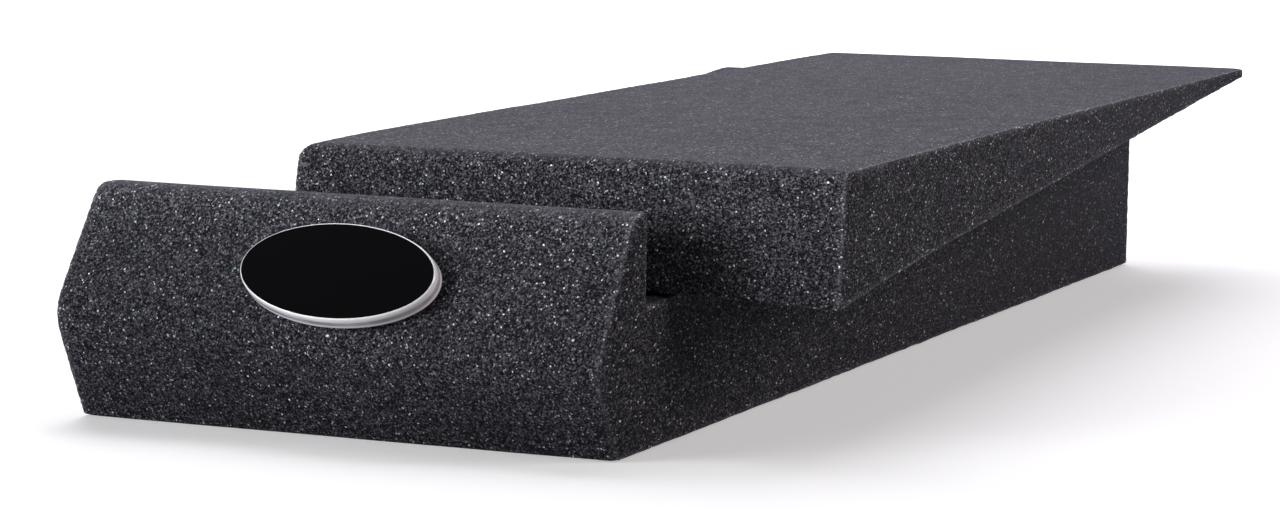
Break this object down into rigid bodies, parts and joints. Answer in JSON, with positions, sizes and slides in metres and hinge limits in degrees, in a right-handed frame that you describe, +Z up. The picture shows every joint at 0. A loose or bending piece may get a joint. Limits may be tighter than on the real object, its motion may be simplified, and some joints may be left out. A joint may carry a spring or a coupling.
{
  "type": "speaker isolation pad",
  "caption": "Long foam pad with a pointed nose and a gently sloping seat, a loose foam wedge lying on the seat to level it, and a bare oval badge on the nose.",
  "frame": {"origin": "middle of the base pad's footprint, on its underside", "axes": "+Z up, +Y along the pad from the pointed nose to the rear, +X across it"},
  "size_m": [0.1333, 0.3238, 0.0479],
  "materials": {
    "foam": "charcoal open-cell polyurethane foam, fine bright cell walls, matt",
    "badge_metal": "bright silver rim",
    "badge_black": "glossy black, bare"
  },
  "bodies": {
    "root": {"base_pad": "foam", "wedge_pad": "foam", "badge_bezel": "badge_metal", "badge_face": "badge_black"}
  },
  "joints": []
}
